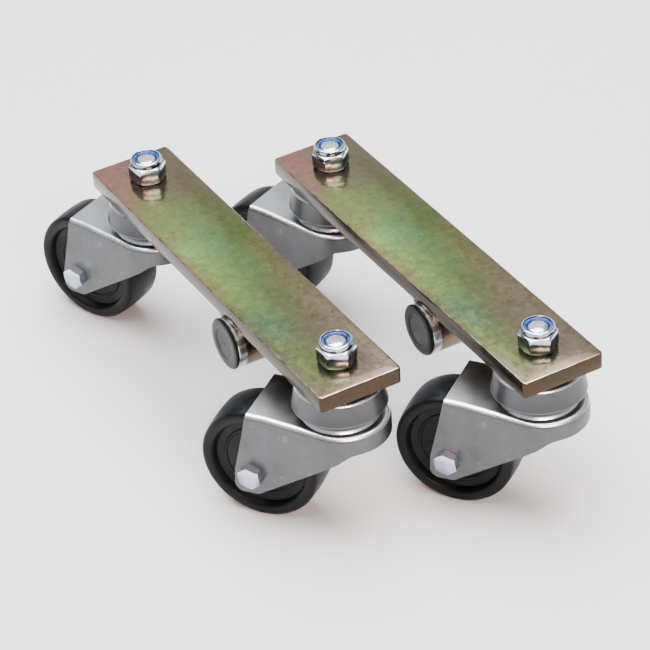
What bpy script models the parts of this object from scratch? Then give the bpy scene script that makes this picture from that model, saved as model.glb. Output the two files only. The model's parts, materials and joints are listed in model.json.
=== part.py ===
"""Pair of two-castor bogies that carry a motorcycle paddock stand sideways.

Each bogie is a flat steel bar on two swivel castors, with a short cross tube
welded under it that takes the foot of the stand.  Metres, +Z up, +Y along the
bars, origin on the floor below the middle of the pair.
"""

import math

import bmesh
import bpy
from mathutils import Matrix, Vector

MM = 0.001

# Driving dimensions, in millimetres.
GAP = 0.3                      # clearance kept between neighbouring pieces

BAR_LENGTH = 270.0
BAR_WIDTH = 50.0
BAR_THICKNESS = 10.0
HOLE_INSET = 25.0              # bolt hole centre from the end of the bar
BOLT_DIAMETER = 12.0           # M12 king bolt
BOLT_HOLE = BOLT_DIAMETER + 0.8

BOGIE_SPACING = 95.0           # between the two bars, centre to centre
BOGIE_STAGGER = 50.0           # the right-hand bar stands this much further forward

WHEEL_RADIUS = 35.0            # 70 mm wheel
WHEEL_HALF_TREAD = 13.5
WHEEL_HALF_HUB = 17.2
AXLE_DROP = 63.0               # axle below the underside of the bar
TRAIL = 46.0                   # axle behind the swivel axis
AXLE_DIAMETER = 8.0

FORK_SHEET = 2.5
FORK_DROP = 23.5               # fork's flat top below the underside of the bar
FORK_NOSE_RADIUS = 25.6
FORK_NOSE_CENTRE = -1.9
FORK_HALF_WIDTH = 21.2         # at the axle, over the cheeks
FORK_PARALLEL_FROM = 38.0      # the cheeks stop converging here
FORK_SKIRT = 11.5              # depth of the skirt at the nose
FORK_FOLD_RADIUS = 2.6
HEAD_RADIUS = 20.0             # drawn-up swivel head of the fork
HEAD_DROP = 12.5               # its top, below the underside of the bar

CUP_RIM_RADIUS = 26.3
CUP_RIM_DROP = 16.6
CUP_SHOULDER_RADIUS = 24.2
CUP_SHEET = 2.5

UPPER_BALL = 6.0
UPPER_PITCH_RADIUS = 16.4
UPPER_BALLS = 7
LOWER_BALL = 4.4
LOWER_PITCH_RADIUS = 12.2
LOWER_BALLS = 5

NUT_FLATS = BOLT_DIAMETER + 7.0
NUT_LIP_RADIUS = BOLT_DIAMETER / 2 + 1.2
NUT_COLLAR_RADIUS = BOLT_DIAMETER / 2 + 2.7
NUT_HEX_HEIGHT = 10.0
NUT_HEIGHT = 13.9
HEAD_HEIGHT = 7.5
AXLE_FLATS = 12.7
AXLE_HEAD_HEIGHT = 5.3
AXLE_NUT_HEIGHT = 6.8

TUBE_RADIUS = 15.0
TUBE_WALL = 2.0
TUBE_FORWARD = 31.0            # tube axis ahead of the middle of the bar
TUBE_PROUD_LEFT = 1.3
TUBE_PROUD_RIGHT = 0.7
PLUG_FLANGE = 1.9
WELD_RADIUS = 4.2

REST_ANGLES = {                # swivel angle of each castor, degrees to the left of +Y
    "left_front": 37.0,
    "left_back": 24.5,
    "right_front": 37.0,
    "right_back": 24.5,
}

# Levels above the floor that follow from those.
AXLE_Z = WHEEL_RADIUS
BAR_UNDER = AXLE_Z + AXLE_DROP
BAR_TOP = BAR_UNDER + BAR_THICKNESS
SLEEVE_RADIUS = AXLE_DIAMETER / 2 + 2.4
SLEEVE_HALF = FORK_HALF_WIDTH - FORK_SHEET - GAP
KING_SLEEVE_RADIUS = BOLT_DIAMETER / 2 + 2.2
FORK_HOLE_RADIUS = KING_SLEEVE_RADIUS + GAP


def clear_scene():
    for obj in list(bpy.data.objects):
        bpy.data.objects.remove(obj, do_unlink=True)


def new_collection(name):
    made = bpy.data.collections.new(name)
    bpy.context.scene.collection.children.link(made)
    return made


clear_scene()
PARTS = new_collection("castor_bogie_pair")
CUTTERS = new_collection("cutters")
CUTTERS.hide_render = True


def principled(name, colour, roughness, metallic):
    made = bpy.data.materials.new(name)
    made.use_nodes = True
    shader = made.node_tree.nodes["Principled BSDF"]
    shader.inputs["Base Color"].default_value = (*colour, 1.0)
    shader.inputs["Roughness"].default_value = roughness
    shader.inputs["Metallic"].default_value = metallic
    made.diffuse_color = (*colour, 1.0)
    return made


PASSIVATED = principled("yellow_passivated_steel", (0.30, 0.24, 0.17), 0.32, 1.0)
BRIGHT_ZINC = principled("bright_zinc_steel", (0.58, 0.60, 0.62), 0.26, 1.0)
BALL_STEEL = principled("ball_steel", (0.45, 0.46, 0.47), 0.15, 1.0)
BLACK_RUBBER = principled("black_wheel_rubber", (0.012, 0.012, 0.012), 0.5, 0.0)
BLACK_PLUG = principled("black_plug_plastic", (0.010, 0.012, 0.012), 0.22, 0.0)
BLUE_NYLON = principled("blue_nylon", (0.03, 0.12, 0.42), 0.4, 0.0)


def add_empty(name, parent, place, turn_z=0.0):
    made = bpy.data.objects.new(name, None)
    made.empty_display_size = 10 * MM
    made.location = Vector(place) * MM
    made.rotation_euler = (0.0, 0.0, math.radians(turn_z))
    made.parent = parent
    PARTS.objects.link(made)
    return made


def add_object(name, bm, parent, material=None, smooth=True):
    """Makes a part from bm, or a hidden cutter when there is no material."""
    mesh = bpy.data.meshes.new(name)
    bm.to_mesh(mesh)
    bm.free()
    made = bpy.data.objects.new(name, mesh)
    made.parent = parent
    if material is None:
        CUTTERS.objects.link(made)
        made.hide_render = True
        made.display_type = "WIRE"
        return made
    PARTS.objects.link(made)
    mesh.materials.append(material)
    if smooth:
        mesh.shade_smooth()
        mesh.set_sharp_from_angle(angle=math.radians(30))
    return made


def combine(target, other, operation):
    made = target.modifiers.new(operation.lower() + "_" + other.name, "BOOLEAN")
    made.object = other
    made.operation = operation
    made.solver = "EXACT"
    return made


def profile(points):
    """A closed profile in the XZ plane, in millimetres, for a Screw modifier."""
    bm = bmesh.new()
    corners = [bm.verts.new((x * MM, 0.0, z * MM)) for x, z in points]
    for number, corner in enumerate(corners):
        following = corners[(number + 1) % len(corners)]
        on_axis = abs(corner.co.x) < 1e-9 and abs(following.co.x) < 1e-9
        if not on_axis:
            bm.edges.new((corner, following))
    return bm


def turned(name, points, parent, material=None, steps=20):
    """A turned piece: the outer side of points runs from top to bottom."""
    made = add_object(name, profile(points), parent, material, smooth=False)
    screw = made.modifiers.new("screw", "SCREW")
    screw.axis = "Z"
    screw.angle = math.tau
    screw.steps = steps
    screw.render_steps = steps
    screw.use_merge_vertices = True
    screw.merge_threshold = 0.00001
    screw.use_smooth_shade = True
    return made


def prism(outline, low, high, axis="Z"):
    """An outline in millimetres, extruded between two levels along an axis."""
    bm = bmesh.new()
    corners = [bm.verts.new((a * MM, b * MM, low * MM)) for a, b in outline]
    face = bm.faces.new(corners)
    raised = bmesh.ops.extrude_face_region(bm, geom=[face])
    moved = [item for item in raised["geom"] if isinstance(item, bmesh.types.BMVert)]
    bmesh.ops.translate(bm, verts=moved, vec=(0.0, 0.0, (high - low) * MM))
    if axis == "X":
        # Outline (a, b) becomes (y, z), and the extrusion runs along x.
        turn = Matrix(((0, 0, 1, 0), (1, 0, 0, 0), (0, 1, 0, 0), (0, 0, 0, 1)))
        bmesh.ops.transform(bm, matrix=turn, verts=bm.verts)
    bmesh.ops.recalc_face_normals(bm, faces=bm.faces)
    return bm


def hexagon(flats, turn=0.0):
    radius = flats / 2 / math.cos(math.pi / 6)
    angles = [math.radians(turn) + math.tau * side / 6 for side in range(6)]
    return [(radius * math.cos(a), radius * math.sin(a)) for a in angles]


def cylinder(radius, low, high, steps, axis="Z", centre=(0.0, 0.0)):
    angles = [math.tau * (side + 0.5) / steps for side in range(steps)]
    outline = [
        (centre[0] + radius * math.cos(a), centre[1] + radius * math.sin(a))
        for a in angles
    ]
    return prism(outline, low, high, axis)


def box(x, y, z):
    bm = bmesh.new()
    bmesh.ops.create_cube(bm, size=1.0)
    size = [(high - low) * MM for low, high in (x, y, z)]
    middle = [(high + low) / 2 * MM for low, high in (x, y, z)]
    bmesh.ops.scale(bm, vec=size, verts=bm.verts)
    bmesh.ops.translate(bm, vec=middle, verts=bm.verts)
    return bm


def rounded(corners, radii, steps=3):
    """The outline with each corner replaced by an arc of its own radius."""
    made = []
    total = len(corners)
    for number, corner in enumerate(corners):
        here = Vector(corner)
        before = (Vector(corners[number - 1]) - here).normalized()
        after = (Vector(corners[(number + 1) % total]) - here).normalized()
        radius = radii[number]
        if radius <= 0.0:
            made.append(tuple(here))
            continue
        half = before.angle(after) / 2
        centre = here + (before + after).normalized() * radius / math.sin(half)
        start = here + before * radius / math.tan(half) - centre
        end = here + after * radius / math.tan(half) - centre
        turn = math.atan2(start.x * end.y - start.y * end.x, start.dot(end))
        for step in range(steps + 1):
            angle = turn * step / steps
            arm = Matrix.Rotation(angle, 2) @ start
            made.append(tuple(centre + arm))
    return made


def fork_plan(inset, tail):
    """Plan outline of the fork: a round nose and two cheeks running back to tail."""
    radius = FORK_NOSE_RADIUS - inset
    half = FORK_HALF_WIDTH - inset
    reach = FORK_PARALLEL_FROM - FORK_NOSE_CENTRE
    # Direction of the tangent from the end of the taper to the nose circle.
    lean = math.atan2(half, reach)
    distance = math.hypot(half, reach)
    touch = math.asin(radius / distance) - lean
    arc_steps = 10
    start = touch
    outline = [(half, tail), (half, FORK_PARALLEL_FROM)]
    for step in range(arc_steps + 1):
        angle = start - (math.pi + 2 * start) * step / arc_steps
        outline.append(
            (
                radius * math.cos(angle),
                FORK_NOSE_CENTRE + radius * math.sin(angle),
            )
        )
    outline += [(-half, FORK_PARALLEL_FROM), (-half, tail)]
    return outline


def fork_side():
    """Side outline of the fork as (y, z), z below the underside of the bar."""
    corners = [
        (47.5, -5.0),
        (47.5, -FORK_DROP),
        (57.2, -66.0),
        (56.6, -76.7),
        (42.5, -76.7),
        (-3.5, -43.5),
        (-13.0, -FORK_DROP - FORK_SKIRT),
        (-40.0, -FORK_DROP - FORK_SKIRT),
        (-40.0, -5.0),
    ]
    radii = [0.0, 0.0, 9.0, 5.5, 7.0, 10.0, 8.0, 0.0, 0.0]
    return rounded(corners, radii)


def add_fork(name, swivel):
    """Pressed fork: folded nose and cheeks, with a drawn-up head for the balls."""
    bm = prism(fork_plan(0.0, 62.0), -80.0, -FORK_DROP)
    weights = bm.edges.layers.float.new("bevel_weight_edge")
    for edge in bm.edges:
        first, second = (vert.co for vert in edge.verts)
        on_top = min(first.z, second.z) > (-FORK_DROP - 0.1) * MM
        at_tail = min(first.y, second.y) > 61.0 * MM
        edge[weights] = 1.0 if on_top and not at_tail else 0.0
    fork = add_object(name, bm, swivel, BRIGHT_ZINC)
    fold = fork.modifiers.new("fold", "BEVEL")
    fold.limit_method = "WEIGHT"
    fold.width = FORK_FOLD_RADIUS * MM
    fold.segments = 2

    side = add_object(name + "_side_cut", prism(fork_side(), -40, 40, "X"), swivel)
    combine(fork, side, "INTERSECT")

    top = -HEAD_DROP
    plate = -FORK_DROP
    head = turned(
        name + "_head_shape",
        [
            (0, top),
            (HEAD_RADIUS - 1.2, top),
            (HEAD_RADIUS, top - 1.5),
            (HEAD_RADIUS + 0.9, plate + 1.2),
            (HEAD_RADIUS + 2.4, plate - 0.8),
            (0, plate - 0.8),
        ],
        swivel,
    )
    combine(fork, head, "UNION")

    inner = fork_plan(FORK_SHEET, 70.0)
    cavity = add_object(
        name + "_cavity", prism(inner, -90.0, -FORK_DROP - FORK_SHEET), swivel
    )
    combine(fork, cavity, "DIFFERENCE")
    hollow = turned(
        name + "_head_hollow",
        [
            (0, top - FORK_SHEET),
            (HEAD_RADIUS - FORK_SHEET, top - FORK_SHEET),
            (HEAD_RADIUS - FORK_SHEET + 0.8, plate - FORK_SHEET - 3.0),
            (0, plate - FORK_SHEET - 3.0),
        ],
        swivel,
    )
    combine(fork, hollow, "DIFFERENCE")
    bore = add_object(
        name + "_bore", cylinder(FORK_HOLE_RADIUS, -30.0, -5.0, 24), swivel
    )
    combine(fork, bore, "DIFFERENCE")
    axle = add_object(
        name + "_axle_holes",
        cylinder(
            AXLE_DIAMETER / 2 + GAP, -40, 40, 16, "X", (TRAIL, -AXLE_DROP)
        ),
        swivel,
    )
    combine(fork, axle, "DIFFERENCE")
    return fork


def add_cup(name, parent):
    """Upper raceway cup, clamped to the bar by the king bolt."""
    rim = CUP_RIM_RADIUS
    shoulder = CUP_SHOULDER_RADIUS
    return turned(
        name,
        [
            (15.4, -GAP),
            (17.4, -3.0),
            (22.6, -3.2),
            (shoulder, -5.0),
            (rim, -CUP_RIM_DROP),
            (rim - CUP_SHEET, -CUP_RIM_DROP),
            (shoulder - CUP_SHEET, -5.7),
            (15.2, -5.6),
            (13.2, -GAP - CUP_SHEET),
            (BOLT_DIAMETER / 2 + GAP, -GAP - CUP_SHEET),
            (BOLT_DIAMETER / 2 + GAP, -GAP),
        ],
        parent,
        BRIGHT_ZINC,
        steps=24,
    )


def add_ball_ring(name, parent, level, pitch, ball, count, cage_half):
    """Caged balls: a flat cage ring with the balls set into it."""
    ring = turned(
        name,
        [
            (pitch + cage_half, level + 0.5),
            (pitch + cage_half, level - 0.5),
            (pitch - cage_half, level - 0.5),
            (pitch - cage_half, level + 0.5),
        ],
        parent,
        BALL_STEEL,
        steps=count * 2,
    )
    bm = bmesh.new()
    for number in range(count):
        angle = math.tau * (number + 0.5) / count
        place = Matrix.Translation(
            (
                pitch * MM * math.cos(angle),
                pitch * MM * math.sin(angle),
                level * MM,
            )
        )
        bmesh.ops.create_uvsphere(
            bm, u_segments=6, v_segments=4, radius=ball / 2 * MM, matrix=place
        )
    balls = add_object(name + "_balls", bm, parent)
    combine(ring, balls, "UNION")
    return ring


def add_race_sleeve(name, parent):
    """Lower raceway with its hollow stem, staked under the upper cup."""
    stem = KING_SLEEVE_RADIUS
    bore = BOLT_DIAMETER / 2 + GAP
    race = -HEAD_DROP - FORK_SHEET - LOWER_BALL - 2 * GAP
    return turned(
        name,
        [
            (stem, -GAP - CUP_SHEET - GAP),
            (stem, race),
            (14.8, race),
            (15.0, race + 2.2),
            (16.6, race + 2.2),
            (16.0, race - 2.4),
            (bore, race - 2.4),
            (bore, -GAP - CUP_SHEET - GAP),
        ],
        parent,
        BRIGHT_ZINC,
        steps=16,
    )


def add_king_bolt(name, parent):
    """M12 bolt, head below the lower raceway, shank up through the bar."""
    seat = -HEAD_DROP - FORK_SHEET - LOWER_BALL - 2 * GAP - 2.4 - GAP
    tip = BAR_THICKNESS + NUT_HEIGHT - 1.0
    radius = BOLT_DIAMETER / 2
    bolt = turned(
        name,
        [
            (0, tip),
            (radius - 1.0, tip),
            (radius, tip - 1.0),
            (radius, seat - 2.0),
            (0, seat - 2.0),
        ],
        parent,
        BRIGHT_ZINC,
        steps=16,
    )
    head = add_object(
        name + "_hex", prism(hexagon(NUT_FLATS), seat - HEAD_HEIGHT, seat), parent
    )
    combine(bolt, head, "UNION")
    return bolt


def add_lock_nut(name, parent, turn):
    """Hexagon nut with a round collar above it that holds the nylon ring."""
    foot = BAR_THICKNESS + GAP
    shoulder = foot + NUT_HEX_HEIGHT
    top = BAR_THICKNESS + NUT_HEIGHT
    nut = add_object(
        name, prism(hexagon(NUT_FLATS, turn), foot, shoulder), parent, BRIGHT_ZINC
    )
    chamfer = turned(
        name + "_chamfer",
        [
            (0, shoulder + 0.5),
            (NUT_FLATS / 2 - 0.3, shoulder + 0.5),
            (NUT_FLATS / 2 - 0.3, shoulder),
            (NUT_FLATS / 2 + 1.9, shoulder - 1.35),
            (NUT_FLATS / 2 + 1.9, foot - 1.0),
            (0, foot - 1.0),
        ],
        parent,
        steps=12,
    )
    combine(nut, chamfer, "INTERSECT")
    collar = turned(
        name + "_collar",
        [
            (0, top),
            (NUT_COLLAR_RADIUS - 0.8, top),
            (NUT_COLLAR_RADIUS - 0.1, top - 0.9),
            (NUT_COLLAR_RADIUS, foot + 4.0),
            (0, foot + 4.0),
        ],
        parent,
    )
    combine(nut, collar, "UNION")
    bore = BOLT_DIAMETER / 2 + GAP
    core = turned(
        name + "_core",
        [
            (0, top + 2.0),
            (NUT_LIP_RADIUS, top + 2.0),
            (NUT_LIP_RADIUS, top - 0.5),
            (NUT_LIP_RADIUS + 0.6, top - 0.5),
            (NUT_LIP_RADIUS + 0.6, top - 3.6),
            (bore, top - 3.6),
            (bore, foot - 2.0),
            (0, foot - 2.0),
        ],
        parent,
        steps=16,
    )
    combine(nut, core, "DIFFERENCE")
    return nut


def add_nut_insert(name, parent):
    top = BAR_THICKNESS + NUT_HEIGHT
    return turned(
        name,
        [
            (NUT_LIP_RADIUS - GAP, top - 0.9),
            (NUT_LIP_RADIUS - GAP, top - 3.3),
            (BOLT_DIAMETER / 2 + GAP, top - 3.3),
            (BOLT_DIAMETER / 2 + GAP, top - 0.9),
        ],
        parent,
        BLUE_NYLON,
        steps=16,
    )


def add_wheel(name, parent):
    """Solid black wheel; its bore turns on the hub sleeve."""
    bore = SLEEVE_RADIUS + GAP
    half_outline = [
        (bore, WHEEL_HALF_HUB),
        (11.0, WHEEL_HALF_HUB),
        (12.6, 9.0),
        (WHEEL_RADIUS - 8.2, 9.0),
        (WHEEL_RADIUS - 5.8, WHEEL_HALF_TREAD),
        (WHEEL_RADIUS - 2.2, WHEEL_HALF_TREAD - 1.2),
        (WHEEL_RADIUS, WHEEL_HALF_TREAD - 5.0),
    ]
    mirrored = [(radius, -across) for radius, across in reversed(half_outline)]
    wheel = turned(name, half_outline + mirrored, parent, BLACK_RUBBER, steps=24)
    wheel.rotation_euler = (0.0, math.radians(90), 0.0)
    return wheel


def add_hub_sleeve(name, parent):
    bore = AXLE_DIAMETER / 2 + GAP
    sleeve = turned(
        name,
        [
            (SLEEVE_RADIUS, SLEEVE_HALF),
            (SLEEVE_RADIUS, -SLEEVE_HALF),
            (bore, -SLEEVE_HALF),
            (bore, SLEEVE_HALF),
        ],
        parent,
        BRIGHT_ZINC,
        steps=16,
    )
    sleeve.rotation_euler = (0.0, math.radians(90), 0.0)
    return sleeve


def add_axle_bolt(name, parent):
    """Axle bolt, head on the near cheek, thread out of the far one."""
    seat = FORK_HALF_WIDTH + GAP
    tip = seat + AXLE_NUT_HEIGHT + 1.6
    bolt = add_object(
        name,
        cylinder(AXLE_DIAMETER / 2, -seat - 1.0, tip, 16, "X"),
        parent,
        BRIGHT_ZINC,
    )
    hex_outline = [(b, a) for a, b in hexagon(AXLE_FLATS)]
    head = add_object(
        name + "_hex",
        prism(hex_outline, -seat - AXLE_HEAD_HEIGHT, -seat, "X"),
        parent,
    )
    combine(bolt, head, "UNION")
    return bolt


def add_axle_nut(name, parent):
    seat = FORK_HALF_WIDTH + GAP
    hex_outline = [(b, a) for a, b in hexagon(AXLE_FLATS, 12.0)]
    nut = add_object(
        name,
        prism(hex_outline, seat, seat + AXLE_NUT_HEIGHT, "X"),
        parent,
        BRIGHT_ZINC,
    )
    bore = add_object(
        name + "_bore",
        cylinder(AXLE_DIAMETER / 2 + GAP, seat - 2, seat + 12, 16, "X"),
        parent,
    )
    combine(nut, bore, "DIFFERENCE")
    return nut


def add_castor(prefix, bogie, along, nut_turn):
    """One swivel castor with its bolt and nut, its swivel axis at y = along."""
    fixed = add_empty(prefix + "_king_axis", bogie, (0.0, along, BAR_UNDER))
    swivel = add_empty(
        prefix + "_swivel_axis", bogie, (0.0, along, BAR_UNDER), REST_ANGLES[prefix]
    )
    axle = add_empty(prefix + "_wheel_axis", swivel, (0.0, TRAIL, -AXLE_DROP))

    add_cup(prefix + "_upper_cup", fixed)
    add_race_sleeve(prefix + "_race_sleeve", fixed)
    add_king_bolt(prefix + "_king_bolt", fixed)
    add_lock_nut(prefix + "_lock_nut", fixed, nut_turn)
    add_nut_insert(prefix + "_nut_insert", fixed)

    add_fork(prefix + "_fork", swivel)
    upper_level = -HEAD_DROP + GAP + UPPER_BALL / 2
    lower_level = -HEAD_DROP - FORK_SHEET - GAP - LOWER_BALL / 2
    add_ball_ring(
        prefix + "_upper_balls",
        swivel,
        upper_level,
        UPPER_PITCH_RADIUS,
        UPPER_BALL,
        UPPER_BALLS,
        2.4,
    )
    add_ball_ring(
        prefix + "_lower_balls",
        swivel,
        lower_level,
        LOWER_PITCH_RADIUS,
        LOWER_BALL,
        LOWER_BALLS,
        1.7,
    )
    add_hub_sleeve(prefix + "_hub_sleeve", axle)
    add_axle_bolt(prefix + "_axle_bolt", axle)
    add_axle_nut(prefix + "_axle_nut", axle)
    add_wheel(prefix + "_wheel", axle)


def add_bar(name, bogie, holes):
    half_width = BAR_WIDTH / 2
    half_length = BAR_LENGTH / 2
    bar = add_object(
        name,
        box(
            (-half_width, half_width),
            (-half_length, half_length),
            (BAR_UNDER, BAR_TOP),
        ),
        bogie,
        PASSIVATED,
    )
    edges = bar.modifiers.new("edges", "BEVEL")
    edges.width = 0.8 * MM
    edges.segments = 2
    edges.limit_method = "ANGLE"
    for number, along in enumerate(holes):
        drill = add_object(
            f"{name}_drill_{number + 1}",
            cylinder(
                BOLT_HOLE / 2, BAR_UNDER - 5, BAR_TOP + 5, 24, "Z", (0.0, along)
            ),
            bogie,
        )
        combine(bar, drill, "DIFFERENCE")
    return bar


def add_cross_tube(prefix, bogie):
    """Tube welded across the underside, plugged on its left, open on its right."""
    axis = (-TUBE_FORWARD, BAR_UNDER - GAP - TUBE_RADIUS)
    left = -BAR_WIDTH / 2 - TUBE_PROUD_LEFT
    right = BAR_WIDTH / 2 + TUBE_PROUD_RIGHT
    tube = add_object(
        prefix + "_cross_tube",
        cylinder(TUBE_RADIUS, left, right, 32, "X", axis),
        bogie,
        PASSIVATED,
    )
    bore = add_object(
        prefix + "_cross_tube_bore",
        cylinder(TUBE_RADIUS - TUBE_WALL, left - 5, right + 5, 32, "X", axis),
        bogie,
    )
    combine(tube, bore, "DIFFERENCE")

    stem = TUBE_RADIUS - TUBE_WALL - GAP
    rim = TUBE_RADIUS - 0.2
    plug = turned(
        prefix + "_tube_plug",
        [
            (0.0, PLUG_FLANGE - 0.5),
            (8.4, PLUG_FLANGE - 0.5),
            (9.4, PLUG_FLANGE),
            (12.8, PLUG_FLANGE),
            (14.3, PLUG_FLANGE - 0.6),
            (rim, 1.0),
            (rim, GAP),
            (stem, GAP),
            (stem, -11.0),
            (stem - 0.8, -12.0),
            (stem - 1.8, -12.0),
            (stem - 1.8, -0.9),
            (0.0, -0.9),
        ],
        bogie,
        BLACK_PLUG,
    )
    plug.location = Vector((left, axis[0], axis[1])) * MM
    plug.rotation_euler = (0.0, math.radians(-90), 0.0)

    for word, side in (("front", -1), ("back", 1)):
        weld = add_object(
            f"{prefix}_weld_{word}",
            cylinder(
                WELD_RADIUS,
                -BAR_WIDTH / 2 + 2.5,
                BAR_WIDTH / 2 - 2.5,
                12,
                "X",
                (axis[0] + side * 10.6, BAR_UNDER - 3.0),
            ),
            bogie,
            PASSIVATED,
        )
        under = add_object(
            f"{prefix}_weld_{word}_under_bar",
            box((-40, 40), (-80, 20), (BAR_UNDER - GAP / 2, BAR_UNDER + 20)),
            bogie,
        )
        around = add_object(
            f"{prefix}_weld_{word}_around_tube",
            cylinder(TUBE_RADIUS + GAP / 2, left - 5, right + 5, 32, "X", axis),
            bogie,
        )
        combine(weld, under, "DIFFERENCE")
        combine(weld, around, "DIFFERENCE")


def add_bogie(prefix, pair, across, along, nut_turns):
    bogie = add_empty(prefix + "_bogie", pair, (across, along, 0.0))
    reach = BAR_LENGTH / 2 - HOLE_INSET
    add_bar(prefix + "_bar", bogie, (-reach, reach))
    add_cross_tube(prefix, bogie)
    add_castor(prefix + "_front", bogie, -reach, nut_turns[0])
    add_castor(prefix + "_back", bogie, reach, nut_turns[1])


def centre_on_floor(pair):
    """Moves the pair so that the origin lies under the middle of its box."""
    bpy.context.view_layer.update()
    graph = bpy.context.evaluated_depsgraph_get()
    low = Vector((1e9, 1e9, 1e9))
    high = -low
    for part in PARTS.objects:
        if part.type != "MESH":
            continue
        evaluated = part.evaluated_get(graph)
        mesh = evaluated.to_mesh()
        for vert in mesh.vertices:
            place = evaluated.matrix_world @ vert.co
            low = Vector(map(min, low, place))
            high = Vector(map(max, high, place))
        evaluated.to_mesh_clear()
    pair.location.x -= (low.x + high.x) / 2
    pair.location.y -= (low.y + high.y) / 2
    pair.location.z -= low.z
    bpy.context.view_layer.update()


pair_origin = add_empty("pair_origin", None, (0.0, 0.0, 0.0))
half_spacing = BOGIE_SPACING / 2
half_stagger = BOGIE_STAGGER / 2
add_bogie("left", pair_origin, -half_spacing, half_stagger, (8.0, 20.0))
add_bogie("right", pair_origin, half_spacing, -half_stagger, (8.0, 20.0))
centre_on_floor(pair_origin)
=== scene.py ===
import json
import math

import bmesh
import bpy
from mathutils import Matrix, Vector


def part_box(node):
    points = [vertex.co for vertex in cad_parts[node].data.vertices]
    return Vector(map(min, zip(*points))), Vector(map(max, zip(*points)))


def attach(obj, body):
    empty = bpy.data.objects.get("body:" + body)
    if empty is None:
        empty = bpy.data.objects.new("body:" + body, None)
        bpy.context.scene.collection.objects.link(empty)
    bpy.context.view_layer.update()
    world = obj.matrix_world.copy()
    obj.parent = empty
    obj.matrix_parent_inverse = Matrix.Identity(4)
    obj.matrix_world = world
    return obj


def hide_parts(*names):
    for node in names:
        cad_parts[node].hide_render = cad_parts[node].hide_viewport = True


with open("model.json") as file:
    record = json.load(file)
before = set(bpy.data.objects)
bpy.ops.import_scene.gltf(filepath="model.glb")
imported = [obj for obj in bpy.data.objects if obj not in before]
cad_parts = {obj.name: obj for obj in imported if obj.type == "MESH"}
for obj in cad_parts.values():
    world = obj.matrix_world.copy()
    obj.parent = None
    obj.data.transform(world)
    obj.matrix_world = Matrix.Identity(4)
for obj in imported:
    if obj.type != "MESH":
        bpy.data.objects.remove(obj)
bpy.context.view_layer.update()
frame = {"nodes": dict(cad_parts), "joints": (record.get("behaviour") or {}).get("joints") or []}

# ---------------------------------------------------------------- flat bars
# Each bogie hangs from one 270 mm length of 50 x 10 mm hot-rolled flat, sawn
# square, its arrises just broken, drilled near both ends for the king bolts and
# then yellow passivated, which leaves taupe ends and a green, straw-edged middle.
MM = 0.001
BAR_SIZE = Vector((50.0, 270.0, 10.0))
BAR_CORNER = 2.2
BAR_ARRIS = 0.8
BAR_HOLE_RADIUS = 6.4
BAR_HOLE_REACH = 110.0
SIDES = ("left", "right")

BAR_PLACE = {}
for side in SIDES:
    low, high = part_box(side + "_bar")
    BAR_PLACE[side] = Vector((
        (low[0] + high[0]) / 2,
        (low[1] + high[1]) / 2,
        low[2],
    ))


def linear(red, green, blue):
    """A display colour, 0 to 255, as the linear colour that a shader takes."""
    def channel(value):
        value = value / 255
        if value <= 0.04045:
            return value / 12.92
        return ((value + 0.055) / 1.055) ** 2.4
    return (channel(red), channel(green), channel(blue), 1.0)


def add_node(tree, kind, inputs=None, **settings):
    """A shader node with its settings, and its inputs set or linked."""
    made = tree.nodes.new("ShaderNode" + kind)
    for key, value in settings.items():
        setattr(made, key, value)
    for key, value in (inputs or {}).items():
        if isinstance(value, bpy.types.NodeSocket):
            tree.links.new(value, made.inputs[key])
        else:
            made.inputs[key].default_value = value
    return made


def ramp(tree, factor, stops, blend="EASE"):
    """A colour ramp through (place, colour) stops."""
    made = add_node(tree, "ValToRGB", {"Fac": factor})
    made.color_ramp.interpolation = blend
    elements = made.color_ramp.elements
    elements[0].position, elements[0].color = stops[0]
    elements[1].position, elements[1].color = stops[-1]
    for place, colour in stops[1:-1]:
        elements.new(place).color = colour
    return made.outputs["Color"]


def span(tree, value, low, high, start=0.0, end=1.0):
    """value taken smoothly from low..high to start..end."""
    made = add_node(
        tree, "MapRange",
        {"Value": value, "From Min": low, "From Max": high,
         "To Min": start, "To Max": end},
        interpolation_type="SMOOTHSTEP",
    )
    return made.outputs["Result"]


def mixed(tree, factor, first, second, blend="MIX"):
    made = add_node(
        tree, "Mix", {"Factor": factor}, data_type="RGBA", blend_type=blend
    )
    for number, value in ((6, first), (7, second)):
        if isinstance(value, bpy.types.NodeSocket):
            tree.links.new(value, made.inputs[number])
        else:
            made.inputs[number].default_value = value
    return made.outputs[2]


def sums(tree, first, second, operation="ADD"):
    made = add_node(tree, "Math", {0: first, 1: second}, operation=operation)
    return made.outputs[0]


def clouds(tree, where, scale, detail=4.0, roughness=0.55, distortion=0.0):
    made = add_node(
        tree, "TexNoise",
        {"Vector": where, "Scale": scale, "Detail": detail, "Roughness": roughness,
         "Distortion": distortion},
    )
    return made.outputs["Fac"]


def new_finish(name, metallic=0.0):
    """A material, its node tree, its shader and the object coordinates."""
    made = bpy.data.materials.new(name)
    made.use_nodes = True
    tree = made.node_tree
    shader = tree.nodes["Principled BSDF"]
    shader.inputs["Metallic"].default_value = metallic
    where = add_node(tree, "TexCoord").outputs["Object"]
    return made, tree, shader, where


def centred(tree, where, place, turn=0.0):
    """Object coordinates taken from a piece's own centre and heading."""
    made = add_node(
        tree, "Mapping",
        {"Vector": where, "Location": place, "Rotation": (0.0, 0.0, turn)},
        vector_type="TEXTURE",
    )
    return made.outputs["Vector"]


def bumped(tree, shader, height, strength, distance):
    made = add_node(
        tree, "Bump", {"Height": height, "Strength": strength, "Distance": distance}
    )
    tree.links.new(made.outputs["Normal"], shader.inputs["Normal"])


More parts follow.
